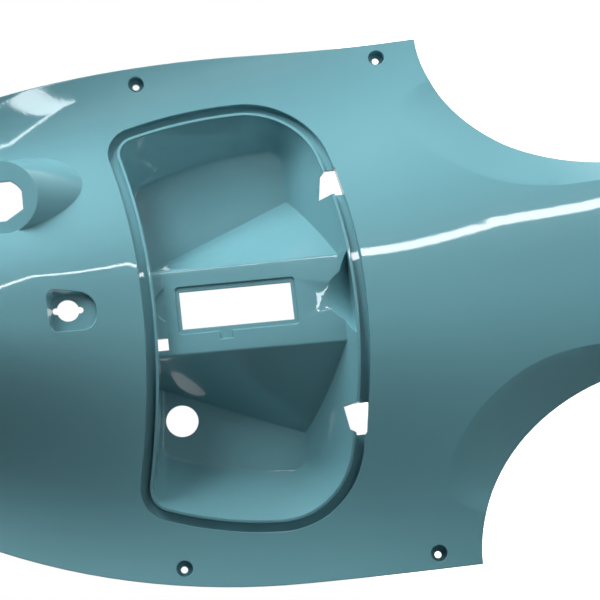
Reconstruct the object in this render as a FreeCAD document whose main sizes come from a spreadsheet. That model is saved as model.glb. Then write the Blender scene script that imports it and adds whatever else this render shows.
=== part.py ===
"""Inner leg panel of a scooter: one thin moulding with an open glovebox.

The panel stands as on the scooter: +Z is up, +X is the rider's right and the rider's
face looks along -Y. Heights and raises are measured from the lower pair of screws: z = 0
at their centres, and y = 0 on the plane where the back of their cups bears on the frame.
A "raise" is a distance from that plane toward the rider, so y = -raise.
"""
import FreeCAD, Part
import math
import os

Vector = FreeCAD.Vector

SIZES = [
    # Wall and outline of the whole moulding
    ("wall", 2.6, "wall thickness of the moulding"),
    ("wing_half_width", 240.0, "centre line to the straight wing edge"),
    ("wing_top_start", 114.0, "height where the wing edge starts to curve in"),
    ("crown_reach", 435.0, "half height of the ellipse of the upper outline"),
    ("top_height", 489.0, "height of the top edge"),
    ("corner_height", -36.0, "height of the lower wing corners"),
    ("neck_half_width", 92.0, "centre line to the trimmed edge of the tunnel"),
    ("neck_height", -206.0, "height where the trimmed edge becomes straight"),
    ("bottom_height", -236.0, "height of the lower end of the tunnel"),
    ("column_notch", 58.0, "radius of the notch for the steering column"),
    # Form of the rider's face: wings
    ("wing_raise", 4.5, "raise of the wings at their lowest place"),
    ("wing_low_height", 64.0, "height of that lowest place"),
    ("wing_bend", 800.0, "radius of the wings' bend toward the rider"),
    ("wing_bend_end", 334.0, "height above which the wings run straight"),
    ("curl_band", 75.0, "width of the band that curls toward the rider"),
    ("crown_power", 2.6, "squareness of the crown across the panel"),
    # Form of the rider's face: stations along the centre line
    ("tongue_height", -236.0, "station at the lower end"),
    ("tongue_raise", 98.5, "centre raise there"),
    ("tongue_spread", 172.0, "half width of the crown there"),
    ("tongue_curl", 0.0, "curl of the wing edges there"),
    ("tunnel_height", -151.0, "station on the tunnel"),
    ("tunnel_raise", 86.5, "centre raise there"),
    ("tunnel_spread", 172.0, "half width of the crown there"),
    ("tunnel_curl", 0.0, "curl of the wing edges there"),
    ("throat_height", -66.0, "station where the tunnel widens"),
    ("throat_raise", 73.5, "centre raise there"),
    ("throat_spread", 172.0, "half width of the crown there"),
    ("throat_curl", 0.0, "curl of the wing edges there"),
    ("sill_height", 34.0, "station just below the glovebox"),
    ("sill_raise", 59.5, "centre raise there"),
    ("sill_spread", 154.0, "half width of the crown there"),
    ("sill_curl", 3.0, "curl of the wing edges there"),
    ("box_height", 134.0, "station across the glovebox"),
    ("box_raise", 54.5, "centre raise there"),
    ("box_spread", 150.0, "half width of the crown there"),
    ("box_curl", 6.0, "curl of the wing edges there"),
    ("brow_height", 224.0, "station just above the glovebox"),
    ("brow_raise", 65.5, "centre raise there"),
    ("brow_spread", 138.0, "half width of the crown there"),
    ("brow_curl", 8.5, "curl of the wing edges there"),
    ("hook_height", 296.0, "station across the bag hook"),
    ("hook_raise", 94.5, "centre raise there"),
    ("hook_spread", 122.0, "half width of the crown there"),
    ("hook_curl", 12.0, "curl of the wing edges there"),
    ("neck_top_height", 364.0, "station across the lock"),
    ("neck_top_raise", 122.5, "centre raise there"),
    ("neck_top_spread", 110.0, "half width of the crown there"),
    ("neck_top_curl", 14.0, "curl of the wing edges there"),
    ("crown_height", 489.0, "station at the top edge"),
    ("crown_raise", 158.5, "centre raise there"),
    ("crown_spread", 100.0, "half width of the crown there"),
    ("crown_curl", 14.0, "curl of the wing edges there"),
    # Side walls of the tunnel
    ("ridge_half_width", 72.0, "centre line to the ridge of the tunnel"),
    ("ridge_height", -142.5, "height where the ridge becomes straight"),
    ("ridge_reach", 151.7, "height of the ridge's quarter ellipse"),
    ("side_drop", 17.6, "drop of the side wall at the straight neck"),
    ("side_start", 0.26, "share of the trimmed curve before the side wall starts"),
    ("side_full", 0.8, "share of the trimmed curve where it is fully grown"),
    ("side_lift", 0.6, "clearance of the side wall's surface at the corner"),
    # Outline of the glovebox, at the outer edge of its seal groove
    ("box_bottom", 40.7, "height of the lower edge on the centre line"),
    ("box_bottom_radius", 600.0, "radius of the lower edge"),
    ("box_low_corner", 75.0, "radius of the lower corners"),
    ("box_side", 194.0, "centre line to the side edge"),
    ("box_side_height", 120.0, "height where the side edge is widest"),
    ("box_side_radius", 347.0, "radius of the side edge"),
    ("box_high_corner", 27.0, "radius of the upper corners"),
    ("box_top", 233.4, "height of the upper edge on the centre line"),
    ("box_top_radius", 660.0, "radius of the upper edge, which dips in the middle"),
    ("groove_width", 8.0, "width of the seal groove"),
    ("groove_depth", 7.0, "depth of the seal groove"),
    ("lip_width", 2.6, "width of the lip inside the groove"),
    ("lip_drop", 1.0, "drop of the lip below the panel's face"),
    ("lip_face", 1.6, "straight inner face of the lip"),
    ("lip_overlap", 1.2, "how far the glovebox's wall runs in under the groove"),
    # Floor and walls of the glovebox
    ("floor_raise", -19.5, "raise of the pocket floors"),
    ("floor_fillet", 4.5, "radius between the floors and the leaning walls"),
    ("floor_small_fillet", 3.0, "radius between the floors and the steep upper wall"),
    ("floor_bottom_right", 92.5, "height of the right floor's lower edge"),
    ("floor_bottom_left", 101.0, "height of the left floor's lower edge"),
    ("floor_low_corner", 14.0, "radius of the floors' lower corners"),
    ("floor_high_corner", 14.0, "radius of the floors' upper corners"),
    ("floor_right", 157.0, "centre line to the right floor's outer edge"),
    ("floor_left", 137.5, "centre line to the left floor's outer edge"),
    ("floor_side_height", 88.0, "height where the floors are widest"),
    ("floor_side_radius", 400.0, "radius of the floors' outer edge"),
    ("floor_top_draft", 2.5, "draft of the upper wall between lip and floor"),
    # Raised shelf between the two pockets
    ("shelf_raise", 41.5, "raise of the shelf's face"),
    ("shelf_half_width", 38.7, "half width of the shelf's face"),
    ("shelf_round", 0.5, "radius behind the shelf's long edges"),
    ("shelf_foot", 106.0, "half width of its foot at the floors' lower edge"),
    ("shelf_foot_taper", 0.42, "narrowing of the foot for each mm of height"),
    ("shelf_foot_fillet", 2.5, "radius between the shelf and the floors"),
    ("shelf_sink", 0.15, "how far the shelf's fillet starts below the floors"),
    ("shelf_root", 20.0, "how far the shelf's solid reaches below the floors"),
    ("scoop_x", 1.5, "offset of the finger scoop at the shelf's lower end"),
    ("scoop_start", 76.5, "height where the scoop starts in the shelf's face"),
    ("scoop_radius", 32.0, "radius of the scoop's hollow where it starts"),
    ("scoop_widening", 0.4, "growth of that radius for each mm of height"),
    ("keeper_left", -22.0, "left end of the latch keeper at the shelf's upper end"),
    ("keeper_right", 33.0, "right end of the latch keeper"),
    ("keeper_bottom", 214.0, "height of the keeper's lower edge"),
    ("keeper_step", 1.6, "how far the keeper stands out of the shelf's face"),
    ("keeper_bite", 16.0, "radius of the round bite in the keeper's edge"),
    ("keeper_bite_x", 7.0, "offset of that bite"),
    ("keeper_bite_drop", 7.0, "distance from the keeper's edge down to the bite's centre"),
    ("latch_width", 10.5, "width of the latch's square hole beside the keeper"),
    ("latch_length", 9.0, "length of the latch's square hole"),
    ("ledge_width", 42.0, "width of the ledge round the window"),
    ("ledge_length", 104.0, "length of the ledge round the window"),
    ("ledge_depth", 1.3, "depth of the ledge"),
    ("ledge_corner", 3.0, "radius of the ledge's corners"),
    ("tab_reach", 7.0, "how far the tab's seat reaches out of the ledge"),
    ("tab_bottom", 158.0, "height of the lower side of the tab's seat"),
    ("tab_length", 11.0, "length of the tab's seat"),
    ("window_x", 1.2, "offset of the window from the centre line"),
    ("window_height", 152.0, "height of the window's centre"),
    ("window_width", 33.0, "width of the window"),
    ("window_length", 97.0, "length of the window"),
    # Hinge slots and socket hole
    ("slot_inner", 93.5, "centre line to the near end of a hinge slot"),
    ("slot_length", 26.0, "length of a hinge slot"),
    ("slot_bottom", 48.3, "height of a hinge slot's lower near corner"),
    ("slot_width", 20.2, "width of a hinge slot at its near end"),
    ("slot_rise", 3.5, "how far the slot's lower edge rises toward its far end"),
    ("slot_bevel", 5.5, "bevel of its upper far corner"),
    ("slot_fall", 3.0, "how far the slot's upper edge falls toward that bevel"),
    ("socket_radius", 14.2, "radius of the power socket's hole"),
    ("socket_x", -83.5, "offset of the socket hole"),
    ("socket_height", 207.0, "height of the socket hole"),
    # Recess of the bag hook
    ("recess_left", -17.5, "left edge of the recess floor"),
    ("recess_right", 12.8, "right edge of the recess floor"),
    ("recess_bottom", 273.0, "lower end of the recess floor"),
    ("recess_top", 309.5, "upper end of the recess floor"),
    ("recess_low_corner", 13.5, "radius of the floor's lower corners"),
    ("recess_high_corner", 4.5, "radius of its upper corners"),
    ("recess_raise", 84.7, "raise of the recess floor at the hook's hole"),
    ("recess_tilt", 0.124, "rise of the recess floor for each mm of height"),
    ("recess_draft", 0.25, "lean of the recess walls for each mm of depth"),
    ("recess_opening", 60.0, "how far the recess's solid opens in front of its floor"),
    ("hook_height_at_floor", 296.4, "height of the hook's hole"),
    ("hook_radius", 9.4, "radius of the hook's hole"),
    ("hook_key_length", 26.0, "length over the two round key notches"),
    ("hook_key_width", 6.0, "width of the key notches"),
    # Boss of the ignition lock
    ("lock_x", 102.0, "offset of the lock boss"),
    ("lock_height", 346.5, "height of the lock boss"),
    ("lock_raise", 91.0, "raise of the boss's face"),
    ("lock_radius", 33.5, "radius of the boss's face"),
    ("lock_slant", 0.95, "how far the boss slants down for each mm of depth"),
    ("lock_lean", 0.125, "how far the boss leans outward for each mm of depth"),
    ("lock_flare", 0.19, "how much its half width grows for each mm of depth"),
    ("lock_depth", 62.0, "depth of the boss"),
    ("lock_hole_x", 98.5, "offset of the keyed hole"),
    ("lock_hole_height", 344.0, "height of the keyed hole"),
    ("lock_hole_radius", 19.5, "radius of the keyed hole"),
    ("lock_hole_width", 35.0, "width across the two side flats of the keyed hole"),
    ("lock_hole_flat", 17.9, "centre of the keyed hole to its lower flat"),
    ("lock_hole_bevel", 16.3, "centre of the keyed hole to its slanted flat"),
    ("lock_hole_turn", 32.0, "slant of that flat in degrees"),
    # Screw cups
    ("cup_radius", 7.0, "radius of a screw cup"),
    ("cup_floor", 2.5, "thickness of a cup's floor"),
    ("cup_reach", 14.0, "length of the cups' working cylinders"),
    ("screw_radius", 3.0, "radius of the screw holes"),
    ("low_screw_x", 226.5, "centre line to the lower screws"),
    ("high_screw_x", 218.0, "centre line to the upper screws"),
    ("high_screw_height", 219.0, "height of the upper screws"),
    ("high_mount_raise", 8.6, "raise of the upper screws' bearing plane"),
    # Working lengths
    ("reach", 300.0, "depth of the working blocks behind the panel's face"),
    ("front", 200.0, "how far working prisms start in front of the bearing plane"),
    ("margin", 24.0, "how far working surfaces run past what they trim"),
]

STATIONS = ["tongue", "tunnel", "throat", "sill", "box", "brow", "hook", "neck_top", "crown"]

doc = FreeCAD.newDocument("inner_panel")
sheet = doc.addObject("Spreadsheet::Sheet", "Sizes")
for row, (alias, value, note) in enumerate(SIZES, start=1):
    sheet.set("A%d" % row, note)
    sheet.set("B%d" % row, str(value))
    sheet.setAlias("B%d" % row, alias)
doc.recompute()


def size(alias):
    """A driving dimension, read from the sheet."""
    return float(getattr(sheet, alias))


# Form of the rider's face


def natural_spline(knots, values):
    """A smooth curve through a few stations, as a function of height."""
    count = len(knots)
    gaps = [knots[i + 1] - knots[i] for i in range(count - 1)]
    bend = [0.0] * count
    diagonal = [1.0] * count
    for i in range(1, count - 1):
        diagonal[i] = 2 * (gaps[i - 1] + gaps[i])
        bend[i] = 3 * ((values[i + 1] - values[i]) / gaps[i] - (values[i] - values[i - 1]) / gaps[i - 1])
    for i in range(2, count - 1):
        share = gaps[i - 1] / diagonal[i - 1]
        diagonal[i] -= share * gaps[i - 1]
        bend[i] -= share * bend[i - 1]
    for i in range(count - 2, 0, -1):
        bend[i] = (bend[i] - gaps[i] * bend[i + 1]) / diagonal[i]

    def value(height):
        i = max(k for k in range(count - 1) if k == 0 or knots[k] <= height)
        part = height - knots[i]
        slope = (values[i + 1] - values[i]) / gaps[i] - gaps[i] * (2 * bend[i] + bend[i + 1]) / 3
        cubic = (bend[i + 1] - bend[i]) / (3 * gaps[i])
        return values[i] + part * (slope + part * (bend[i] + part * cubic))

    return value


station_heights = [size(name + "_height") for name in STATIONS]
centre_raise = natural_spline(station_heights, [size(name + "_raise") for name in STATIONS])
crown_spread = natural_spline(station_heights, [size(name + "_spread") for name in STATIONS])
edge_curl = natural_spline(station_heights, [size(name + "_curl") for name in STATIONS])


def wing_edge_raise(height):
    """Raise of the wing's edge: an arc that runs on straight near the top."""
    bent = min(height, size("wing_bend_end")) - size("wing_low_height")
    straight = max(0.0, height - size("wing_bend_end"))
    return size("wing_raise") + bent * bent / (2 * size("wing_bend")) + straight * bent / size("wing_bend")


def wing_edge_x(height):
    """Half width of the upper outline, for the curl of the edge."""
    up = max(0.0, height - size("wing_top_start")) / size("crown_reach")
    return size("wing_half_width") * math.sqrt(max(0.05, 1 - up * up))


def face_raise(x, height):
    """Raise of the rider's face before any groove, pocket or side wall."""
    curl = max(0.0, edge_curl(height))
    base = wing_edge_raise(height) - curl
    crown = math.exp(-((abs(x) / crown_spread(height)) ** size("crown_power")))
    outward = max(0.0, abs(x) - wing_edge_x(height) + size("curl_band")) / size("curl_band")
    return base + (centre_raise(height) - base) * crown + curl * outward * outward


def point(x, raised, height):
    return Vector(x, -raised, height)


def steps(start, end, count):
    return [start + (end - start) * i / (count - 1) for i in range(count)]


def sunk_grid(grid, depth):
    """The same grid moved behind its surface by depth, square to the surface."""
    sunk = []
    for i, line in enumerate(grid):
        before = grid[max(i - 1, 0)]
        after = grid[min(i + 1, len(grid) - 1)]
        moved = []
        for j, place in enumerate(line):
            along = after[j] - before[j]
            across = line[min(j + 1, len(line) - 1)] - line[max(j - 1, 0)]
            normal = along.cross(across)
            normal.normalize()
            if normal.y < 0:
                normal = normal.negative()
            moved.append(place + normal * depth)
        sunk.append(moved)
    return sunk


# Small builders for the document's objects


def keep_shape(name, shape):
    """A formula-driven shape that no parametric feature gives."""
    feature = doc.addObject("Part::Feature", name)
    feature.Shape = shape
    return feature


def extrude(name, base, length, direction=1):
    """Extrusion along Y of a surface or outline, as a solid."""
    solid = doc.addObject("Part::Extrusion", name)
    solid.Base = base
    solid.DirMode = "Custom"
    solid.Dir = Vector(0, direction, 0)
    solid.Solid = True
    solid.setExpression("LengthFwd", length)
    return solid


def mean_parameters(lines):
    """Parameters that follow the mean distance between neighbouring places."""
    total = [0.0]
    for j in range(1, len(lines[0])):
        gap = sum((line[j] - line[j - 1]).Length for line in lines) / len(lines)
        total.append(total[-1] + gap)
    return [value / total[-1] for value in total]


def smooth_row(places, parameters, closed):
    """Curve through places at shared parameters, so that rows fit each other."""
    curve = Part.BSplineCurve()
    if closed:
        curve.interpolate(Points=places[:-1], Parameters=parameters, PeriodicFlag=True)
    else:
        curve.interpolate(Points=places, Parameters=parameters)
    return curve


def woven_face(lines, along, closed=False):
    """Smooth face through rows of places; two rows give a ruled face."""
    rows = [smooth_row(line, along, closed) for line in lines]
    poles = [row.getPoles() for row in rows]
    knots = rows[0].getKnots()
    mults = rows[0].getMultiplicities()
    if len(lines) == 2:
        up_knots = [0.0, 1.0]
        up_mults = [2, 2]
        up_degree = 1
        woven = poles
    else:
        up = mean_parameters([list(column) for column in zip(*lines)])
        columns = [smooth_row(list(column), up, False) for column in zip(*poles)]
        up_knots = columns[0].getKnots()
        up_mults = columns[0].getMultiplicities()
        up_degree = 3
        woven = [list(row) for row in zip(*[column.getPoles() for column in columns])]
    surface = Part.BSplineSurface()
    surface.buildFromPolesMultsKnots(
        woven, up_mults, mults, up_knots, knots, False, closed, up_degree, 3)
    return surface.toShape()


def capped_solid(name, bands):
    """Solid from bands of closed loops; the first and last loop are capped flat."""
    along = mean_parameters([loop for loops in bands for loop in loops])
    walls = [woven_face(loops, along, True) for loops in bands]
    caps = []
    for wall_face, loop in ((walls[0], bands[0][0]), (walls[-1], bands[-1][-1])):
        level = [edge for edge in wall_face.Edges
                 if edge.BoundBox.YLength < 0.001 and abs(edge.BoundBox.YMin - loop[0].y) < 0.001]
        caps.append(Part.Face(Part.Wire(level[0])))
    skin_faces = Part.makeCompound(walls + caps)
    skin_faces.sewShape()
    solid = Part.Solid(skin_faces.Shells[0])
    if solid.Volume < 0:
        solid.reverse()
    return keep_shape(name, solid)


def block_behind(name, grid, direction=1):
    """All the room behind a surface (or in front of it) as a solid."""
    face = woven_face(grid, mean_parameters(grid))
    return extrude(name, keep_shape(name + "_surface", face), "Sizes.reach", direction)


def fuse(name, parts):
    joined = doc.addObject("Part::MultiFuse", name)
    joined.Shapes = parts
    return joined


def common(name, parts):
    shared = doc.addObject("Part::MultiCommon", name)
    shared.Shapes = parts
    return shared


def cut(name, base, tool):
    result = doc.addObject("Part::Cut", name)
    result.Base = base
    result.Tool = tool
    return result


def wire_prism(name, edges):
    """A prism through the whole depth from a closed outline drawn in front of the panel."""
    wire = Part.Wire(Part.__sortEdges__(edges))
    return extrude(name, keep_shape(name + "_outline", wire), "Sizes.front + Sizes.reach")


def block(name, x, width, y, depth, z, height):
    """A box from six expressions."""
    box = doc.addObject("Part::Box", name)
    box.setExpression("Placement.Base.x", x)
    box.setExpression("Placement.Base.y", y)
    box.setExpression("Placement.Base.z", z)
    box.setExpression("Length", width)
    box.setExpression("Width", depth)
    box.setExpression("Height", height)
    return box


def post(name, radius, x, z, y, length):
    """A cylinder along +Y from five expressions."""
    cylinder = doc.addObject("Part::Cylinder", name)
    cylinder.Placement.Rotation = FreeCAD.Rotation(Vector(1, 0, 0), -90)
    cylinder.setExpression("Placement.Base.x", x)
    cylinder.setExpression("Placement.Base.y", y)
    cylinder.setExpression("Placement.Base.z", z)
    cylinder.setExpression("Radius", radius)
    cylinder.setExpression("Height", length)
    return cylinder


def front_place(x, height):
    """A place on the drawing plane in front of the panel."""
    return Vector(x, -size("front"), height)


def arc_edge(centre, radius, start, end):
    """The shorter circular edge between two places."""
    middle = (start + end) * 0.5 - centre
    middle.normalize()
    return Part.Arc(start, centre + middle * radius, end).toShape()


# Skin of the panel, front and back

side_margin = size("wing_half_width") + size("margin")
across = steps(-side_margin, side_margin, 23)
upward = steps(size("bottom_height") - size("margin"), size("top_height") + size("margin"), 27)
face_grid = [[point(x, face_raise(x, z), z) for x in across] for z in upward]

face_block = block_behind("face_block", face_grid)
back_block = block_behind("back_block", sunk_grid(face_grid, size("wall")))
groove_floor_block = block_behind("groove_floor_block", sunk_grid(face_grid, size("groove_depth")))
groove_back_block = block_behind(
    "groove_back_block", sunk_grid(face_grid, size("groove_depth") + size("wall")))
lip_block = block_behind("lip_block", sunk_grid(face_grid, size("lip_drop")))


# Side walls of the tunnel, between the ridge and the trimmed edge

# Share of the width by which a side wall's surface runs past the ridge and the edge
SIDE_OVERRUN = 0.4


def ridge_place(travel):
    """Place on the ridge: its quarter ellipse for travel 0 to 1, then straight down."""
    wing = size("wing_half_width")
    angle = min(travel, 1.0) * math.pi / 2
    straight = max(0.0, travel - 1.0) * size("ridge_reach")
    return Vector(wing - (wing - size("ridge_half_width")) * math.sin(angle), 0,
                  size("ridge_height") + size("ridge_reach") * math.cos(angle) - straight)


def nearest_ridge(place):
    low = 0.0
    high = 2.0
    for _ in range(60):
        first = low + (high - low) / 3
        second = high - (high - low) / 3
        if (ridge_place(first) - place).Length < (ridge_place(second) - place).Length:
            high = second
        else:
            low = first
    return ridge_place((low + high) / 2)


def side_wall_grid(side):
    """Grid of the side wall: it drops from the ridge to the trimmed edge."""
    wing = size("wing_half_width")
    span = wing - size("neck_half_width")
    edges = [Vector(wing - span * math.sin(angle), 0,
                    size("neck_height") + (size("corner_height") - size("neck_height")) * math.cos(angle))
             for angle in steps(0.0, math.pi / 2, 13)]
    low_end = size("bottom_height") - size("margin")
    for height in steps(size("neck_height"), low_end, 3)[1:]:
        edges.append(Vector(size("neck_half_width"), 0, height))
    grid = []
    for edge in edges:
        ridge = nearest_ridge(edge)
        grown = ((wing - edge.x) / span - size("side_start")) / (size("side_full") - size("side_start"))
        grown = min(1.0, max(0.0, grown))
        drop = size("side_drop") * grown
        lift = size("side_lift") * (1 - grown)
        line = []
        for part in steps(-SIDE_OVERRUN, 1 + SIDE_OVERRUN, 6):
            place = ridge + (edge - ridge) * part
            line.append(point(side * place.x, face_raise(place.x, place.z) + lift - drop * part, place.z))
        grid.append(line)
    return grid


right_wall = side_wall_grid(1)
left_wall = side_wall_grid(-1)
front_cutters = fuse("side_wall_fronts", [
    block_behind("right_wall_front", right_wall, -1),
    block_behind("left_wall_front", left_wall, -1)])
back_cutters = fuse("side_wall_backs", [
    block_behind("right_wall_back", sunk_grid(right_wall, size("wall")), -1),
    block_behind("left_wall_back", sunk_grid(left_wall, size("wall")), -1)])


# Outline of the whole panel


def ellipse_edge(centre_x, centre_z, half_width, half_height, start, end):
    """Part of an ellipse in the drawing plane, as a smooth curve through its points."""
    places = [front_place(centre_x + half_width * math.cos(a), centre_z + half_height * math.sin(a))
              for a in steps(start, end, 15)]
    curve = Part.BSplineCurve()
    curve.interpolate(places)
    return curve.toShape(), places[0], places[-1]


def half_outline(side):
    """Edges of one half of the outline, from the lower end to the top."""
    wing = size("wing_half_width")
    neck = size("neck_half_width")
    top_angle = math.asin((size("top_height") - size("wing_top_start")) / size("crown_reach"))
    trim, low, corner = ellipse_edge(
        side * wing, size("neck_height"), side * (neck - wing),
        size("corner_height") - size("neck_height"), 0.0, math.pi / 2)
    crown, shoulder, top = ellipse_edge(
        0.0, size("wing_top_start"), side * wing, size("crown_reach"), 0.0, top_angle)
    foot = front_place(side * neck, size("bottom_height"))
    middle = front_place(0.0, size("bottom_height"))
    top_middle = front_place(0.0, size("top_height"))
    return [Part.makeLine(middle, foot), Part.makeLine(foot, low), trim,
            Part.makeLine(corner, shoulder), crown, Part.makeLine(top, top_middle)]


outline = wire_prism("panel_outline", half_outline(1) + half_outline(-1))


# Outline of the glovebox


def crossing(first, first_radius, second, second_radius, side):
    """Where two circles cross; side picks one of the two places."""
    gap = second - first
    distance = gap.Length
    along = (distance * distance + first_radius ** 2 - second_radius ** 2) / (2 * distance)
    across_gap = math.sqrt(first_radius ** 2 - along * along)
    unit = gap * (1 / distance)
    square = Vector(-unit.z, 0, unit.x)
    return first + unit * along + square * (across_gap * side)


def on_circle(centre, through, radius):
    ray = through - centre
    ray.normalize()
    return centre + ray * radius


def box_arcs(inset):
    """The right half's five arcs: (centre, radius, start, end), from bottom to top."""
    low_radius = size("box_bottom_radius")
    corner = size("box_low_corner")
    side_radius = size("box_side_radius")
    high = size("box_high_corner")
    top_radius = size("box_top_radius")
    c_low = front_place(0.0, size("box_bottom") + low_radius)
    c_side = front_place(size("box_side") - side_radius, size("box_side_height"))
    c_top = front_place(0.0, size("box_top") + top_radius)
    c_corner = crossing(c_low, low_radius - corner, c_side, side_radius - corner, 1)
    c_high = crossing(c_top, top_radius + high, c_side, side_radius - high, 1)
    start = c_low + Vector(0, 0, -(low_radius - inset))
    low_touch = on_circle(c_low, c_corner, low_radius - inset)
    side_touch = on_circle(c_side, c_corner, side_radius - inset)
    high_touch = on_circle(c_side, c_high, side_radius - inset)
    top_touch = on_circle(c_top, c_high, top_radius + inset)
    end = c_top + Vector(0, 0, -(top_radius + inset))
    return [(c_low, low_radius - inset, start, low_touch),
            (c_corner, corner - inset, low_touch, side_touch),
            (c_side, side_radius - inset, side_touch, high_touch),
            (c_high, high - inset, high_touch, top_touch),
            (c_top, top_radius + inset, top_touch, end)]


def mirrored(place):
    return Vector(-place.x, place.y, place.z)


def box_prism(name, inset):
    edges = []
    for centre, radius, start, end in box_arcs(inset):
        edges.append(arc_edge(centre, radius, start, end))
        edges.append(arc_edge(mirrored(centre), radius, mirrored(start), mirrored(end)))
    return wire_prism(name, edges)


def arc_places(centre, start, end, count):
    """Evenly turned places on an arc, without its last one."""
    first = math.atan2(start.z - centre.z, start.x - centre.x)
    turn = math.atan2(end.z - centre.z, end.x - centre.x) - first
    turn = (turn + math.pi) % (2 * math.pi) - math.pi
    radius = (start - centre).Length
    return [(centre.x + radius * math.cos(first + turn * i / count),
             centre.z + radius * math.sin(first + turn * i / count)) for i in range(count)]


# Places on each of the five arcs of a half outline, from bottom to top
ARC_COUNTS = [6, 6, 7, 6, 7]


def right_rim():
    """Places along the right half of the lip's inner edge, from bottom to top middle."""
    places = []
    for count, (centre, radius, start, end) in zip(ARC_COUNTS, box_arcs(rim_inset)):
        places += arc_places(centre, start, end, count)
    places.append((end.x, end.z))
    return places


def floor_half(side_x, bottom):
    """Places along one half of the floor's outline, from bottom to top middle."""
    inset = rim_inset + size("floor_top_draft")
    top_radius = size("box_top_radius") + inset
    c_top = front_place(0.0, size("box_top") + size("box_top_radius"))
    side_radius = size("floor_side_radius")
    c_side = front_place(side_x - side_radius, size("floor_side_height"))
    high = size("floor_high_corner")
    c_high = crossing(c_top, top_radius + high, c_side, side_radius - high, 1)
    high_touch = on_circle(c_side, c_high, side_radius)
    top_touch = on_circle(c_top, c_high, top_radius)
    end = c_top + Vector(0, 0, -top_radius)
    low = size("floor_low_corner")
    start = front_place(0.0, (size("floor_bottom_right") + size("floor_bottom_left")) / 2)
    low_touch = front_place(side_x - low, bottom)
    c_corner = front_place(side_x - low, bottom + low)
    side_touch = front_place(side_x, bottom + low)
    places = [(low_touch.x * i / ARC_COUNTS[0], start.z + (bottom - start.z) * i / ARC_COUNTS[0])
              for i in range(ARC_COUNTS[0])]
    places += arc_places(c_corner, low_touch, side_touch, ARC_COUNTS[1])
    places += arc_places(c_side, side_touch, high_touch, ARC_COUNTS[2])
    places += arc_places(c_high, high_touch, top_touch, ARC_COUNTS[3])
    places += arc_places(c_top, top_touch, end, ARC_COUNTS[4])
    places.append((end.x, end.z))
    return places


def closed_loop(right, left):
    """A loop from the bottom middle over the right side and back over the left."""
    return right + [(-x, z) for x, z in reversed(left[1:-1])] + [right[0]]


rim_inset = size("groove_width") + size("lip_width")
rim_loop = closed_loop(right_rim(), right_rim())
floor_loop = closed_loop(
    floor_half(size("floor_right"), size("floor_bottom_right")),
    floor_half(size("floor_left"), size("floor_bottom_left")))


def basin(name, grow):
    """Solid of the glovebox's room: walls that lean from the floor to the lip.

    grow = 0 gives the room itself, grow = wall the back of its walls and floor.
    """
    low = size("floor_raise") - grow
    high = size("front") * 0.5
    spare = size("floor_fillet") - size("floor_small_fillet")
    count = len(rim_loop) - 1
    profiles = []
    for i in range(count):
        before = (i - 1) % count
        after = (i + 1) % count
        floor = Vector(floor_loop[i][0], 0, floor_loop[i][1])
        rim_x, rim_z = rim_loop[i]
        rim_raise = face_raise(rim_x, rim_z) - size("lip_drop") - size("lip_face")
        lean = (Vector(rim_x, 0, rim_z) - floor) * (1 / (rim_raise - size("floor_raise")))
        tangent = Vector(floor_loop[after][0] - floor_loop[before][0], 0,
                         floor_loop[after][1] - floor_loop[before][1])
        tangent.normalize()
        outward = Vector(tangent.z, 0, -tangent.x)
        out_lean = max(0.0, lean.dot(outward))
        foot = floor + outward * (grow * math.sqrt(1 + out_lean * out_lean)) - lean * grow
        climb = math.atan2(1.0, out_lean)
        fillet = size("floor_small_fillet") + spare * min(1.0, 2 * out_lean) + grow
        reach = fillet * math.tan(climb / 2)
        sideways = lean - outward * out_lean
        profile = []
        for angle in steps(0.0, climb, 4 if grow == 0 else 2):
            back = reach - fillet * math.sin(angle)
            lift = fillet * (1 - math.cos(angle))
            profile.append(point(0, low + lift, 0) + foot - outward * back + sideways * lift)
        profile.append(point(0, high, 0) + foot + lean * (high - low))
        profiles.append(profile)
    profiles.append(profiles[0])
    loops = [list(loop) for loop in zip(*profiles)]
    return capped_solid(name, [loops[:-1], loops[-2:]])


# The shelf between the pockets: a trapezium that widens downward


def shelf_section(height, grow):
    """Closed wire of the shelf across the panel at one height."""
    top = size("shelf_raise") - grow
    floor = size("floor_raise") - grow
    middle = (size("floor_bottom_right") + size("floor_bottom_left")) / 2
    foot = size("shelf_foot") - size("shelf_foot_taper") * (height - middle)
    run = foot - size("shelf_half_width")
    rise = size("shelf_raise") - size("floor_raise")
    inward = grow * (math.hypot(run, rise) - run) / rise
    crest = size("shelf_half_width") - inward
    toe = foot - inward
    lean = math.atan2(rise, run)
    small = size("shelf_round") + size("wall") - grow
    large = size("shelf_foot_fillet") + grow
    small_reach = small * math.tan(lean / 2)
    large_reach = large * math.tan(lean / 2)
    sink = size("shelf_sink")
    deep = floor - size("shelf_root")
    half = [
        (crest - small_reach, top),
        (crest - small_reach + small * math.sin(lean / 2), top - small * (1 - math.cos(lean / 2))),
        (crest + small_reach * math.cos(lean), top - small_reach * math.sin(lean)),
        (toe - large_reach * math.cos(lean), floor + large_reach * math.sin(lean) - sink),
        (toe + large_reach - large * math.sin(lean / 2), floor + large * (1 - math.cos(lean / 2)) - sink),
        (toe + large_reach, floor - sink),
        (toe + large_reach, deep)]
    right = [point(x, raised, height) for x, raised in half]
    left = [mirrored(place) for place in right]

    def arc(a, b, c):
        return Part.Arc(a, b, c).toShape()

    return Part.Wire([
        Part.makeLine(left[0], right[0]), arc(right[0], right[1], right[2]),
        Part.makeLine(right[2], right[3]), arc(right[3], right[4], right[5]),
        Part.makeLine(right[5], right[6]), Part.makeLine(right[6], left[6]),
        Part.makeLine(left[6], left[5]), arc(left[5], left[4], left[3]),
        Part.makeLine(left[3], left[2]), arc(left[2], left[1], left[0])])


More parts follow.
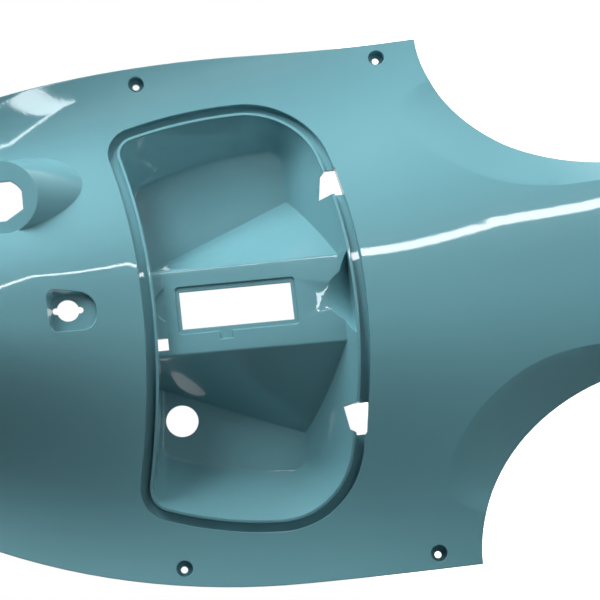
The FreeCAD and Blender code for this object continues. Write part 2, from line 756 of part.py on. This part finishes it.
def shelf(name, grow):
    low = keep_shape(name + "_low_section", shelf_section(size("box_bottom"), grow))
    high = keep_shape(name + "_high_section", shelf_section(size("box_top") + size("margin"), grow))
    loft = doc.addObject("Part::Loft", name)
    loft.Sections = [low, high]
    loft.Ruled = True
    loft.Solid = True
    return loft


# Finger scoop at the shelf's lower end and latch keeper at its upper end


def scoop(name, grow):
    """Hollow that deepens downward out of the shelf's face."""
    hollow = doc.addObject("Part::Cone", name)
    hollow.Placement.Rotation = FreeCAD.Rotation(Vector(1, 0, 0), 180)
    hollow.setExpression("Placement.Base.x", "Sizes.scoop_x")
    hollow.setExpression("Placement.Base.y", "-Sizes.shelf_raise - Sizes.scoop_radius")
    hollow.setExpression("Placement.Base.z", "Sizes.scoop_start + Sizes.margin")
    hollow.setExpression("Radius1", "Sizes.scoop_radius - Sizes.scoop_widening * Sizes.margin + " + grow)
    hollow.setExpression("Radius2", "Sizes.scoop_radius + Sizes.scoop_widening * 2 * Sizes.margin + " + grow)
    hollow.setExpression("Height", "3 * Sizes.margin")
    return hollow


def keeper(name):
    """Raised edge at the shelf's upper end, with a round bite for the latch."""
    edge = block(name + "_edge", "Sizes.keeper_left", "Sizes.keeper_right - Sizes.keeper_left",
                 "-Sizes.shelf_raise - Sizes.keeper_step", "Sizes.keeper_step + Sizes.wall",
                 "Sizes.keeper_bottom", "Sizes.box_top + Sizes.wall - Sizes.keeper_bottom")
    bite = post(name + "_bite", "Sizes.keeper_bite", "Sizes.keeper_bite_x",
                "Sizes.keeper_bottom - Sizes.keeper_bite_drop", "-Sizes.front", "Sizes.front")
    return cut(name, edge, bite)


box_outer = box_prism("box_outer", 0.0)
box_back = box_prism("box_back", -size("wall"))
box_lip = box_prism("box_lip", size("groove_width"))
box_rim = box_prism("box_rim", rim_inset)
box_wall_back = box_prism("box_wall_back", size("groove_width") - size("lip_overlap"))

shelf_with_keeper = fuse("shelf_with_keeper", [shelf("shelf_front", 0.0), keeper("latch_keeper")])
room = cut("room_round_shelf", basin("basin_front", 0.0), shelf_with_keeper)
room = common("room", [fuse("room_with_scoop", [room, scoop("scoop_front", "0")]), box_rim])
room_back = cut("back_round_shelf", basin("basin_back", size("wall")), shelf("shelf_back", size("wall")))
room_back = common("room_back", [
    fuse("back_with_scoop", [room_back, scoop("scoop_back", "Sizes.wall")]), box_wall_back])
groove_ring = cut("groove_ring", cut("groove_band", box_outer, box_lip), groove_floor_block)
lip_cut = cut("lip_cut", box_lip, lip_block)
groove_behind = cut("groove_behind", box_back, groove_back_block)


# Recess of the bag hook and rounded ledge of the window


def rounded_wire(left, right, bottom, top, low_corner, high_corner, level):
    """Rectangle with round corners; level gives the raise at each height."""
    corners = [(right - high_corner, top - high_corner, high_corner, 0),
               (left + high_corner, top - high_corner, high_corner, 90),
               (left + low_corner, bottom + low_corner, low_corner, 180),
               (right - low_corner, bottom + low_corner, low_corner, 270)]
    arcs = []
    for x, z, radius, start in corners:
        turns = [math.radians(start + turn) for turn in (0, 45, 90)]
        places = [(x + radius * math.cos(turn), z + radius * math.sin(turn)) for turn in turns]
        arcs.append([point(place_x, level(place_z), place_z) for place_x, place_z in places])
    edges = []
    for first, second in zip(arcs, arcs[1:] + arcs[:1]):
        edges.append(Part.Arc(*first).toShape())
        edges.append(Part.makeLine(first[2], second[0]))
    return Part.Wire(edges)


def recess_solid(name, grow):
    """Room of the hook's recess: a tilted floor with walls that lean outward."""
    draft = size("recess_draft")
    sideways = grow * (math.sqrt(1 + draft * draft) - draft)
    sections = []
    for part_name, lift in (("_floor", 0.0), ("_mouth", size("recess_opening"))):
        wide = sideways + draft * lift

        def level(height):
            tilt = size("recess_tilt") * (height - size("hook_height_at_floor"))
            return size("recess_raise") - grow + tilt + lift

        sections.append(keep_shape(name + part_name, rounded_wire(
            size("recess_left") - wide, size("recess_right") + wide, size("recess_bottom") - wide,
            size("recess_top") + wide, size("recess_low_corner") + wide,
            size("recess_high_corner") + wide, level)))
    loft = doc.addObject("Part::Loft", name)
    loft.Sections = sections
    loft.Ruled = True
    loft.Solid = True
    return loft


recess = recess_solid("recess", 0.0)
recess_back = recess_solid("recess_back", size("wall"))


# Boss of the ignition lock


def flared_post(name, grow):
    """Boss that flares as it goes into the panel; grow < 0 gives its hollow."""
    radius = size("lock_radius") + grow
    top_raise = size("lock_raise") + grow
    loops = []
    for drop in (0.0, size("lock_depth")):
        centre = size("lock_x") + size("lock_lean") * drop
        half_width = radius + size("lock_flare") * drop
        longer = size("lock_slant") * drop / 2
        loops.append([point(centre + half_width * math.cos(angle), top_raise - drop,
                            size("lock_height") - longer + (radius + longer) * math.sin(angle))
                      for angle in steps(0.0, 2 * math.pi, 17)])
    return capped_solid(name, [loops])


lock_outer = flared_post("lock_outer", 0.0)
lock_inner = flared_post("lock_inner", -size("wall"))
lock_seat = post("lock_seat", "Sizes.lock_radius", "Sizes.lock_x", "Sizes.lock_height",
                 "-Sizes.front", "Sizes.front - Sizes.lock_raise")
lock_seat_back = post("lock_seat_back", "Sizes.lock_radius + Sizes.wall", "Sizes.lock_x",
                      "Sizes.lock_height", "-Sizes.front", "Sizes.front - Sizes.lock_raise + Sizes.wall")


# Screw cups at the four corners of the wings

CUPS = [
    ("low_right", "Sizes.low_screw_x", "0", "0"),
    ("low_left", "-Sizes.low_screw_x", "0", "0"),
    ("high_right", "Sizes.high_screw_x", "Sizes.high_screw_height", "Sizes.high_mount_raise"),
    ("high_left", "-Sizes.high_screw_x", "Sizes.high_screw_height", "Sizes.high_mount_raise"),
]
cup_bodies = []
cup_rooms = []
screw_holes = []
for place, x, z, seat in CUPS:
    cup_bodies.append(post("cup_body_" + place, "Sizes.cup_radius + Sizes.wall", x, z,
                           "-(%s) - Sizes.cup_reach" % seat, "Sizes.cup_reach"))
    cup_rooms.append(post("cup_room_" + place, "Sizes.cup_radius", x, z,
                          "-(%s) - Sizes.cup_floor - Sizes.cup_reach" % seat, "Sizes.cup_reach"))
    screw_holes.append(post("screw_hole_" + place, "Sizes.screw_radius", x, z,
                            "-(%s) - Sizes.cup_floor - Sizes.cup_reach / 2" % seat,
                            "Sizes.cup_reach + Sizes.margin"))


# Openings that go right through

window = block("window", "Sizes.window_x - Sizes.window_width / 2", "Sizes.window_width",
               "-Sizes.front", "Sizes.front", "Sizes.window_height - Sizes.window_length / 2",
               "Sizes.window_length")
ledge_outline = keep_shape("ledge_outline", rounded_wire(
    size("window_x") - size("ledge_width") / 2, size("window_x") + size("ledge_width") / 2,
    size("window_height") - size("ledge_length") / 2, size("window_height") + size("ledge_length") / 2,
    size("ledge_corner"), size("ledge_corner"), lambda height: size("front")))
ledge = extrude("ledge", ledge_outline, "Sizes.front - Sizes.shelf_raise + Sizes.ledge_depth")
tab_seat = block("tab_seat", "Sizes.window_x - Sizes.ledge_width / 2 - Sizes.tab_reach",
                 "Sizes.tab_reach + Sizes.ledge_corner", "-Sizes.front",
                 "Sizes.front - Sizes.shelf_raise + Sizes.ledge_depth", "Sizes.tab_bottom",
                 "Sizes.tab_length")
latch_hole = block("latch_hole", "Sizes.keeper_left - Sizes.latch_width", "Sizes.latch_width",
                   "-Sizes.front", "Sizes.front", "Sizes.keeper_bottom", "Sizes.latch_length")


def hinge_slot(name, side):
    """Slot with a rising lower edge and a bevelled upper far corner."""
    near = side * size("slot_inner")
    far = side * (size("slot_inner") + size("slot_length"))
    bevel = size("slot_bevel")
    low = size("slot_bottom")
    high = low + size("slot_width")
    corners = [(near, low), (far, low + size("slot_rise")), (far, high - size("slot_fall") - bevel),
               (far - side * bevel, high - size("slot_fall")), (near, high)]
    places = [front_place(x, z) for x, z in corners]
    edges = [Part.makeLine(a, b) for a, b in zip(places, places[1:] + places[:1])]
    return wire_prism(name, edges)


right_slot = hinge_slot("right_slot", 1)
left_slot = hinge_slot("left_slot", -1)
socket = post("socket_hole", "Sizes.socket_radius", "Sizes.socket_x", "Sizes.socket_height",
              "-Sizes.front", "Sizes.front + Sizes.reach")
hook_round = post("hook_round", "Sizes.hook_radius", "0", "Sizes.hook_height_at_floor",
                  "-Sizes.front", "Sizes.front + Sizes.reach")
key_centre = "Sizes.hook_height_at_floor %s (Sizes.hook_key_length - Sizes.hook_key_width) / 2"
hook_key = block("hook_key", "-Sizes.hook_key_width / 2", "Sizes.hook_key_width", "-Sizes.front",
                 "Sizes.front + Sizes.reach", key_centre % "-",
                 "Sizes.hook_key_length - Sizes.hook_key_width")
hook_ends = [
    post("hook_end_" + place, "Sizes.hook_key_width / 2", "0", key_centre % sign,
         "-Sizes.front", "Sizes.front + Sizes.reach") for place, sign in (("low", "-"), ("high", "+"))]
lock_round = post("lock_round", "Sizes.lock_hole_radius", "Sizes.lock_hole_x", "Sizes.lock_hole_height",
                  "-Sizes.front", "Sizes.front + Sizes.reach")
lock_flats = block("lock_flats", "Sizes.lock_hole_x - Sizes.lock_hole_width / 2", "Sizes.lock_hole_width",
                   "-Sizes.front", "Sizes.front + Sizes.reach",
                   "Sizes.lock_hole_height - Sizes.lock_hole_flat",
                   "Sizes.lock_hole_flat + Sizes.lock_hole_radius")
turn = "(Sizes.lock_hole_turn * 1 deg)"
lock_bevel = block("lock_bevel",
                   "Sizes.lock_hole_x - Sizes.lock_hole_bevel * cos%s + Sizes.lock_hole_radius * sin%s"
                   % (turn, turn),
                   "Sizes.lock_hole_bevel + Sizes.lock_hole_radius",
                   "-Sizes.front", "Sizes.front + Sizes.reach",
                   "Sizes.lock_hole_height - Sizes.lock_hole_bevel * sin%s - Sizes.lock_hole_radius * cos%s"
                   % (turn, turn),
                   "2 * Sizes.lock_hole_radius")
lock_bevel.Placement.Rotation = FreeCAD.Rotation(Vector(0, -1, 0), 1)
lock_bevel.setExpression("Placement.Rotation.Angle", "Sizes.lock_hole_turn * 1 deg")
lock_hole = common("lock_hole", [lock_round, lock_flats, lock_bevel])
notch = post("column_notch", "Sizes.column_notch", "0", "Sizes.top_height", "-Sizes.front",
             "Sizes.front + Sizes.reach")


# Everything together

front_form = cut("front_sides", face_block, front_cutters)
front_form = fuse("front_with_boss", [front_form, lock_outer])
front_form = cut("front_with_groove", front_form, fuse("front_rooms", [
    groove_ring, recess, lock_seat]))
front_form = cut("front_with_lip", front_form, lip_cut)
front_form = cut("front_form", front_form, room)
back_form = cut("back_sides", back_block, back_cutters)
back_form = cut("back_with_groove", back_form, fuse("back_rooms", [
    groove_behind, recess_back, lock_seat_back]))
back_form = cut("back_form", back_form, room_back)
back_form = fuse("back_with_boss", [back_form, lock_inner])
skin = cut("skin", front_form, back_form)
cups = common("cups", [fuse("cup_bodies", cup_bodies), face_block])
panel_body = common("panel_body", [fuse("skin_and_cups", [skin, cups]), outline])
for cup_room in cup_rooms:
    panel_body = cut("with_" + cup_room.Name, panel_body, cup_room)
panel = cut("inner_panel", panel_body, fuse("openings", screw_holes + hook_ends + [
    window, ledge, tab_seat, latch_hole, right_slot, left_slot, socket, hook_round, hook_key,
    lock_hole, notch]))
panel.Label = "inner_panel"
panel.Placement = FreeCAD.Placement()
doc.recompute()

os.makedirs("parts", exist_ok=True)
for item in doc.Objects:
    if "Invalid" in item.State or "Error" in item.State:
        raise RuntimeError("not built: " + item.Name)
if not panel.Shape.isValid() or len(panel.Shape.Solids) != 1:
    raise RuntimeError("the panel is not one sound solid: %d" % len(panel.Shape.Solids))
panel.Shape.exportStep("parts/inner_panel.step")
print("volume cm3", panel.Shape.Volume / 1000, "size", panel.Shape.BoundBox)
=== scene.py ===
"""Looks of a scooter's inner leg panel: refined skin, teal gloss paint, studio and camera."""

import math

import bmesh
import bpy
import numpy as np
from mathutils import Matrix, Vector


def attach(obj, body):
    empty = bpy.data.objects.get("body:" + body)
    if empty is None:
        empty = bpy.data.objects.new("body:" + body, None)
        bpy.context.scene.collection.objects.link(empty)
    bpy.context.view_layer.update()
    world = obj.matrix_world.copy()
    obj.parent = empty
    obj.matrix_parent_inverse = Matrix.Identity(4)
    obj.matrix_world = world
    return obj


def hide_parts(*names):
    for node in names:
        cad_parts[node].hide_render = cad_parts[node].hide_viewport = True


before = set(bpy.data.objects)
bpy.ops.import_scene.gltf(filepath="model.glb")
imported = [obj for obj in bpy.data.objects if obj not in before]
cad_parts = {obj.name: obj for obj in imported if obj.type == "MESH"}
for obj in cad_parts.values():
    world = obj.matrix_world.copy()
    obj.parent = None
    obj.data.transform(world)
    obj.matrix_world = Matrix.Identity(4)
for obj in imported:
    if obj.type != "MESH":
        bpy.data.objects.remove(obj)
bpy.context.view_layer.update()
MM = 0.001

# Form of the painted face, in millimetres, as the CAD part builds it

STATION_HEIGHT = [-236.0, -151.0, -66.0, 34.0, 134.0, 224.0, 296.0, 364.0, 489.0]
STATION_RAISE = [98.5, 86.5, 73.5, 59.5, 54.5, 65.5, 94.5, 122.5, 158.5]
STATION_SPREAD = [172.0, 172.0, 172.0, 154.0, 150.0, 138.0, 122.0, 110.0, 100.0]
STATION_CURL = [0.0, 0.0, 0.0, 3.0, 6.0, 8.5, 12.0, 14.0, 14.0]
CROWN_POWER = 2.6
CURL_BAND = 75.0
WING_HALF_WIDTH = 240.0
WING_TOP_START = 114.0
CROWN_REACH = 435.0
WING_RAISE = 4.5
WING_LOW_HEIGHT = 64.0
WING_BEND = 800.0
WING_BEND_END = 334.0
LEAST_NARROWING = 0.05


def natural_spline(knots, values):
    """Smooth curve through stations, for arrays of heights."""
    knots = np.array(knots)
    values = np.array(values)
    gaps = np.diff(knots)
    count = len(knots)
    matrix = np.eye(count)
    target = np.zeros(count)
    slopes = np.diff(values) / gaps
    for i in range(1, count - 1):
        matrix[i, i - 1] = gaps[i - 1]
        matrix[i, i] = 2 * (gaps[i - 1] + gaps[i])
        matrix[i, i + 1] = gaps[i]
        target[i] = 3 * (slopes[i] - slopes[i - 1])
    bend = np.linalg.solve(matrix, target)

    def value(height):
        i = np.clip(np.searchsorted(knots, height, side="right") - 1, 0, count - 2)
        part = height - knots[i]
        slope = slopes[i] - gaps[i] * (2 * bend[i] + bend[i + 1]) / 3
        cubic = (bend[i + 1] - bend[i]) / (3 * gaps[i])
        return values[i] + part * (slope + part * (bend[i] + part * cubic))

    return value


centre_raise = natural_spline(STATION_HEIGHT, STATION_RAISE)
crown_spread = natural_spline(STATION_HEIGHT, STATION_SPREAD)
edge_curl = natural_spline(STATION_HEIGHT, STATION_CURL)


def face_raise(x, z):
    """Raise of the painted face over arrays of places."""
    bent = np.minimum(z, WING_BEND_END) - WING_LOW_HEIGHT
    straight = np.maximum(0.0, z - WING_BEND_END)
    wing = WING_RAISE + bent * bent / (2 * WING_BEND) + straight * bent / WING_BEND
    curl = np.maximum(0.0, edge_curl(z))
    base = wing - curl
    up = np.maximum(0.0, z - WING_TOP_START) / CROWN_REACH
    edge = WING_HALF_WIDTH * np.sqrt(np.maximum(LEAST_NARROWING, 1 - up * up))
    outward = np.maximum(0.0, np.abs(x) - edge + CURL_BAND) / CURL_BAND
    crown = np.exp(-((np.abs(x) / crown_spread(z)) ** CROWN_POWER))
    return base + (centre_raise(z) - base) * crown + curl * outward * outward


def face_normals(x, z):
    """Unit normals of the painted face, toward the rider."""
    step = 0.5
    slope_x = (face_raise(x + step, z) - face_raise(x - step, z)) / (2 * step)
    slope_z = (face_raise(x, z + step) - face_raise(x, z - step)) / (2 * step)
    normals = np.stack([-slope_x, -np.ones_like(x), -slope_z], axis=-1)
    return normals / np.linalg.norm(normals, axis=-1, keepdims=True)


# Skin: the node's mesh, refined where it lies on the painted face

NEAR_FACE = 0.35
WELD = 0.002
LONGEST_EDGE = 6.0
REFINE_PASSES = 7
SHARP_ANGLE = math.radians(28)


def on_face(points):
    """Which places, in metres, lie on the painted face."""
    raised = face_raise(points[:, 0] / MM, points[:, 2] / MM)
    return np.abs(-points[:, 1] / MM - raised) < NEAR_FACE


def refine_face(bm, longest):
    """Splits the long edges on the painted face and puts the new corners on it."""
    bm.verts.ensure_lookup_table()
    places = np.array([v.co[:] for v in bm.verts])
    flags = on_face(places)
    face_verts = {v for v, flag in zip(bm.verts, flags) if flag}
    for _ in range(REFINE_PASSES):
        skin = [f for f in bm.faces if all(v in face_verts for v in f.verts)]
        skin_edges = {e for f in skin for e in f.edges}
        long_edges = [e for e in skin_edges if e.calc_length() > longest]
        if not long_edges:
            break
        for edge in long_edges:
            _, middle = bmesh.utils.edge_split(edge, edge.verts[0], 0.5)
            raised = face_raise(np.array([middle.co.x / MM]), np.array([middle.co.z / MM]))[0]
            middle.co.y = -raised * MM
            face_verts.add(middle)
        many = [f for f in bm.faces if len(f.verts) > 3]
        bmesh.ops.triangulate(bm, faces=many, quad_method="SHORT_EDGE", ngon_method="BEAUTY")


def make_skin(name, node):
    """The panel as one smooth mesh, finer where it curves in front."""
    bm = bmesh.new()
    bm.from_mesh(node.data)
    bmesh.ops.remove_doubles(bm, verts=bm.verts, dist=WELD * MM)
    refine_face(bm, LONGEST_EDGE * MM)
    for edge in bm.edges:
        if len(edge.link_faces) == 2:
            edge.smooth = edge.calc_face_angle(0.0) < SHARP_ANGLE
        else:
            edge.smooth = False
    for face in bm.faces:
        face.smooth = True
    mesh = bpy.data.meshes.new(name)
    bm.to_mesh(mesh)
    bm.free()

    count = len(mesh.vertices)
    places = np.zeros(count * 3)
    mesh.vertices.foreach_get("co", places)
    places = places.reshape(-1, 3)
    flags = on_face(places)
    analytic = face_normals(places[:, 0] / MM, places[:, 2] / MM)
    corner_vert = np.zeros(len(mesh.loops), dtype=np.int32)
    mesh.loops.foreach_get("vertex_index", corner_vert)
    normals = np.zeros(len(mesh.loops) * 3)
    mesh.corner_normals.foreach_get("vector", normals)
    normals = normals.reshape(-1, 3)
    triangle_verts = corner_vert.reshape(-1, 3)
    whole = flags[triangle_verts].all(axis=1)
    corners = np.repeat(whole, 3)
    normals[corners] = analytic[corner_vert[corners]]
    mesh.normals_split_custom_set([tuple(n) for n in normals])
    skin = bpy.data.objects.new(name, mesh)
    bpy.context.collection.objects.link(skin)
    return skin


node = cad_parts["inner_panel"]
panel = make_skin("panel_skin", node)
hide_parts("inner_panel")
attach(panel, "root")


# Materials


def new_material(name):
    material = bpy.data.materials.new(name)
    material.use_nodes = True
    tree = material.node_tree
    tree.nodes.clear()
    return material, tree


def add_node(tree, kind, place, **values):
    made = tree.nodes.new(kind)
    made.location = place
    for key, value in values.items():
        setattr(made, key, value)
    return made


def join(tree, source, target):
    tree.links.new(source, target)


def paint_material():
    """Teal paint over plastic: clear gloss, faint orange peel and an uneven sheen."""
    material, tree = new_material("teal_gloss_paint")
    output = add_node(tree, "ShaderNodeOutputMaterial", (900, 0))
    shader = add_node(tree, "ShaderNodeBsdfPrincipled", (600, 0))
    join(tree, shader.outputs["BSDF"], output.inputs["Surface"])
    place = add_node(tree, "ShaderNodeTexCoord", (-900, 0))

    cloud = add_node(tree, "ShaderNodeTexNoise", (-650, 200))
    cloud.inputs["Scale"].default_value = 9.0
    cloud.inputs["Detail"].default_value = 4.0
    join(tree, place.outputs["Object"], cloud.inputs["Vector"])
    tone = add_node(tree, "ShaderNodeMix", (-350, 250), data_type="RGBA")
    tone.inputs["A"].default_value = (0.137, 0.330, 0.380, 1.0)
    tone.inputs["B"].default_value = (0.147, 0.352, 0.404, 1.0)
    join(tree, cloud.outputs["Fac"], tone.inputs["Factor"])
    join(tree, tone.outputs["Result"], shader.inputs["Base Color"])

    grime = add_node(tree, "ShaderNodeTexNoise", (-650, -80))
    grime.inputs["Scale"].default_value = 60.0
    grime.inputs["Detail"].default_value = 6.0
    join(tree, place.outputs["Object"], grime.inputs["Vector"])
    gloss = add_node(tree, "ShaderNodeMapRange", (-350, -80))
    gloss.inputs["From Min"].default_value = 0.35
    gloss.inputs["From Max"].default_value = 0.75
    gloss.inputs["To Min"].default_value = 0.30
    gloss.inputs["To Max"].default_value = 0.42
    join(tree, grime.outputs["Fac"], gloss.inputs["Value"])
    join(tree, gloss.outputs["Result"], shader.inputs["Roughness"])

    peel = add_node(tree, "ShaderNodeTexNoise", (-650, -350))
    peel.inputs["Scale"].default_value = 420.0
    peel.inputs["Detail"].default_value = 1.0
    join(tree, place.outputs["Object"], peel.inputs["Vector"])
    edge = add_node(tree, "ShaderNodeBevel", (-350, -520), samples=8)
    edge.inputs["Radius"].default_value = 0.0013
    bump = add_node(tree, "ShaderNodeBump", (-100, -350))
    bump.inputs["Strength"].default_value = 0.05
    bump.inputs["Distance"].default_value = 0.0002
    join(tree, peel.outputs["Fac"], bump.inputs["Height"])
    join(tree, edge.outputs["Normal"], bump.inputs["Normal"])
    join(tree, bump.outputs["Normal"], shader.inputs["Normal"])
    join(tree, bump.outputs["Normal"], shader.inputs["Coat Normal"])
    shader.inputs["IOR"].default_value = 1.45
    shader.inputs["Specular IOR Level"].default_value = 0.25
    shader.inputs["Coat Weight"].default_value = 1.0
    shader.inputs["Coat Roughness"].default_value = 0.04
    shader.inputs["Coat IOR"].default_value = 1.5
    return material


panel.data.materials.clear()
panel.data.materials.append(paint_material())


# Studio: pale floor, white surroundings, key and fill lamps, lamps seen in the gloss

PANEL_MIDDLE = (0, 0, 0.09)
AHEAD = Vector((0, 1, 0))
DIM = (0.040, 0.042, 0.045, 1.0)


def area_light(name, place, target, width, height, power, up=(0, 0, 1)):
    """Rectangular lamp at a place, turned to a target; its height runs along up."""
    data = bpy.data.lights.new(name, "AREA")
    data.shape = "RECTANGLE"
    data.size = width
    data.size_y = height
    data.energy = power
    lamp = bpy.data.objects.new(name, data)
    away = (Vector(place) - Vector(target)).normalized()
    right = Vector(up).cross(away).normalized()
    upward = away.cross(right)
    turn = Matrix((right, upward, away)).transposed().to_4x4()
    lamp.matrix_world = Matrix.Translation(place) @ turn
    bpy.context.collection.objects.link(lamp)
    return lamp


def toward(angle_x, angle_z, distance):
    """A place in front of the panel, turned toward +X and raised by two angles in degrees."""
    a = math.radians(angle_x)
    b = math.radians(angle_z)
    return (distance * math.sin(a) * math.cos(b), -distance * math.cos(a) * math.cos(b),
            PANEL_MIDDLE[2] + distance * math.sin(b))


# Reflection lamps stand a metre in front of the panel and show only in its gloss

LAMP_FRONT = -1.0
CARD_TINT = (0.88, 0.97, 1.0)


def line_light(name, first, last, width, radiance, tint=(1, 1, 1)):
    """Long narrow lamp between two places (x, z) of the lamp plane, facing the panel."""
    first = Vector((first[0], LAMP_FRONT, first[1]))
    last = Vector((last[0], LAMP_FRONT, last[1]))
    middle = (first + last) / 2
    length = (first - last).length
    lamp = area_light(name, middle, middle + AHEAD, width, length,
                      radiance * math.pi * width * length, (first - last).normalized())
    lamp.data.color = tint
    lamp.visible_diffuse = False
    lamp.visible_camera = False


line_light("crown_right_start", (0.440, 0.150), (0.500, 0.060), 0.060, 18.0)
line_light("crown_right_end", (0.515, 0.060), (0.515, -0.130), 0.075, 18.0)
line_light("crown_left_start", (0.500, -0.390), (0.775, -0.600), 0.026, 18.0)
line_light("crown_left_end", (0.775, -0.600), (0.825, -0.790), 0.036, 18.0)
line_light("wing_band", (0.330, -0.270), (0.850, -0.316), 0.016, 17.0, CARD_TINT)
line_light("wing_patch", (0.340, -0.272), (0.000, -0.530), 0.066, 15.0, CARD_TINT)

key = area_light("key", toward(72.0, 18.0, 2.4), PANEL_MIDDLE, 1.2, 2.0, 75.0)
fill = area_light("fill", toward(45.0, 28.0, 2.4), PANEL_MIDDLE, 0.7, 0.7, 25.0)
back = area_light("back", (0.8, 2.2, 0.8), PANEL_MIDDLE, 1.4, 1.4, 55.0)
for lamp in (key, fill, back):
    lamp.visible_glossy = False


def card_material():
    """Dark cover of the cards, as dim as the world in front of the panel."""
    material, tree = new_material("dark_card")
    output = add_node(tree, "ShaderNodeOutputMaterial", (300, 0))
    shader = add_node(tree, "ShaderNodeEmission", (0, 0))
    shader.inputs["Color"].default_value = DIM
    join(tree, shader.outputs["Emission"], output.inputs["Surface"])
    return material


card_cover = card_material()


def dark_card(name, front, left, right, bottom, top):
    """Upright dark card before the panel, seen only in the gloss; it keeps a lamp off one wing."""
    mesh = bpy.data.meshes.new(name)
    mesh.from_pydata([(left, front, bottom), (right, front, bottom), (right, front, top),
                      (left, front, top)], [], [(0, 1, 2, 3)])
    mesh.materials.append(card_cover)
    card = bpy.data.objects.new(name, mesh)
    card.visible_camera = False
    card.visible_diffuse = False
    card.visible_shadow = False
    bpy.context.collection.objects.link(card)


dark_card("left_wing_card", -0.20, -0.300, 0.045, 0.100, 0.400)
dark_card("right_wing_card", -0.10, 0.150, 0.450, -0.150, 0.235)


def studio_world():
    """White to the camera and behind the panel, dim in front of it."""
    world = bpy.data.worlds.new("studio")
    world.use_nodes = True
    tree = world.node_tree
    tree.nodes.clear()
    output = add_node(tree, "ShaderNodeOutputWorld", (900, 0))
    light = add_node(tree, "ShaderNodeBackground", (700, 0))
    join(tree, light.outputs["Background"], output.inputs["Surface"])
    place = add_node(tree, "ShaderNodeTexCoord", (-700, 0))
    split = add_node(tree, "ShaderNodeSeparateXYZ", (-500, 0))
    join(tree, place.outputs["Generated"], split.inputs["Vector"])
    behind = add_node(tree, "ShaderNodeMapRange", (-300, 0))
    behind.inputs["From Min"].default_value = 0.0
    behind.inputs["From Max"].default_value = 0.35
    join(tree, split.outputs["Y"], behind.inputs["Value"])
    rays = add_node(tree, "ShaderNodeLightPath", (-500, 300))
    seen = add_node(tree, "ShaderNodeMath", (-300, 300), operation="MAXIMUM")
    join(tree, rays.outputs["Is Glossy Ray"], seen.inputs[0])
    join(tree, rays.outputs["Is Transmission Ray"], seen.inputs[1])
    mirrored_white = add_node(tree, "ShaderNodeMath", (-100, 150), operation="MULTIPLY")
    join(tree, behind.outputs["Result"], mirrored_white.inputs[0])
    join(tree, seen.outputs["Value"], mirrored_white.inputs[1])
    white = add_node(tree, "ShaderNodeMath", (100, 200), operation="MAXIMUM")
    join(tree, rays.outputs["Is Camera Ray"], white.inputs[0])
    join(tree, mirrored_white.outputs["Value"], white.inputs[1])
    shade = add_node(tree, "ShaderNodeMix", (400, 0), data_type="RGBA")
    shade.inputs["A"].default_value = DIM
    shade.inputs["B"].default_value = (1.0, 1.0, 1.0, 1.0)
    join(tree, white.outputs["Value"], shade.inputs["Factor"])
    join(tree, shade.outputs["Result"], light.inputs["Color"])
    bpy.context.scene.world = world


studio_world()


def floor_material():
    """Plain pale floor: white where the camera sees it unshaded, with the panel's shadow."""
    material, tree = new_material("pale_floor")
    output = add_node(tree, "ShaderNodeOutputMaterial", (600, 0))
    mix = add_node(tree, "ShaderNodeAddShader", (400, 0))
    diffuse = add_node(tree, "ShaderNodeBsdfDiffuse", (100, 100))
    diffuse.inputs["Color"].default_value = (0.8, 0.8, 0.8, 1.0)
    glow = add_node(tree, "ShaderNodeEmission", (100, -100))
    rays = add_node(tree, "ShaderNodeLightPath", (-300, -100))
    lift = add_node(tree, "ShaderNodeMath", (-80, -100), operation="MULTIPLY")
    lift.inputs[1].default_value = 0.92
    join(tree, rays.outputs["Is Camera Ray"], lift.inputs[0])
    join(tree, lift.outputs["Value"], glow.inputs["Strength"])
    join(tree, diffuse.outputs["BSDF"], mix.inputs[0])
    join(tree, glow.outputs["Emission"], mix.inputs[1])
    join(tree, mix.outputs["Shader"], output.inputs["Surface"])
    return material


FLOOR_HEIGHT = -0.2365
FLOOR_REACH = 3
floor_corners = [(-1, -1), (1, -1), (1, 1), (-1, 1)]
floor_mesh = bpy.data.meshes.new("floor")
floor_mesh.from_pydata([(x * FLOOR_REACH, y * FLOOR_REACH, FLOOR_HEIGHT) for x, y in floor_corners],
                       [], [(0, 1, 2, 3)])
floor_mesh.materials.append(floor_material())
floor = bpy.data.objects.new("floor", floor_mesh)
floor.visible_glossy = False
bpy.context.collection.objects.link(floor)


# Camera at the photograph's place

TURN = math.radians(13.7)
RISE = math.radians(5.0)
ROLL = math.radians(-6.621)
DISTANCE = 2.0
SENSOR = 36.0
LENS = 136.08
TARGET = Vector((0.008863, -0.0085, 0.094))
out = Vector((-math.sin(TURN) * math.cos(RISE), -math.cos(TURN) * math.cos(RISE), math.sin(RISE)))
across = Vector((1, 0, 0))
up_plain = (across - out * across.dot(out)).normalized()
right_plain = up_plain.cross(out)
right = right_plain * math.cos(ROLL) + up_plain * math.sin(ROLL)
up = up_plain * math.cos(ROLL) - right_plain * math.sin(ROLL)
camera_data = bpy.data.cameras.new("camera")
camera_data.sensor_width = SENSOR
camera_data.lens = LENS
camera = bpy.data.objects.new("camera", camera_data)
turn = Matrix((right, up, out)).transposed().to_4x4()
camera.matrix_world = Matrix.Translation(TARGET + out * DISTANCE) @ turn
bpy.context.collection.objects.link(camera)
bpy.context.scene.camera = camera
bpy.context.scene.view_settings.view_transform = "Standard"
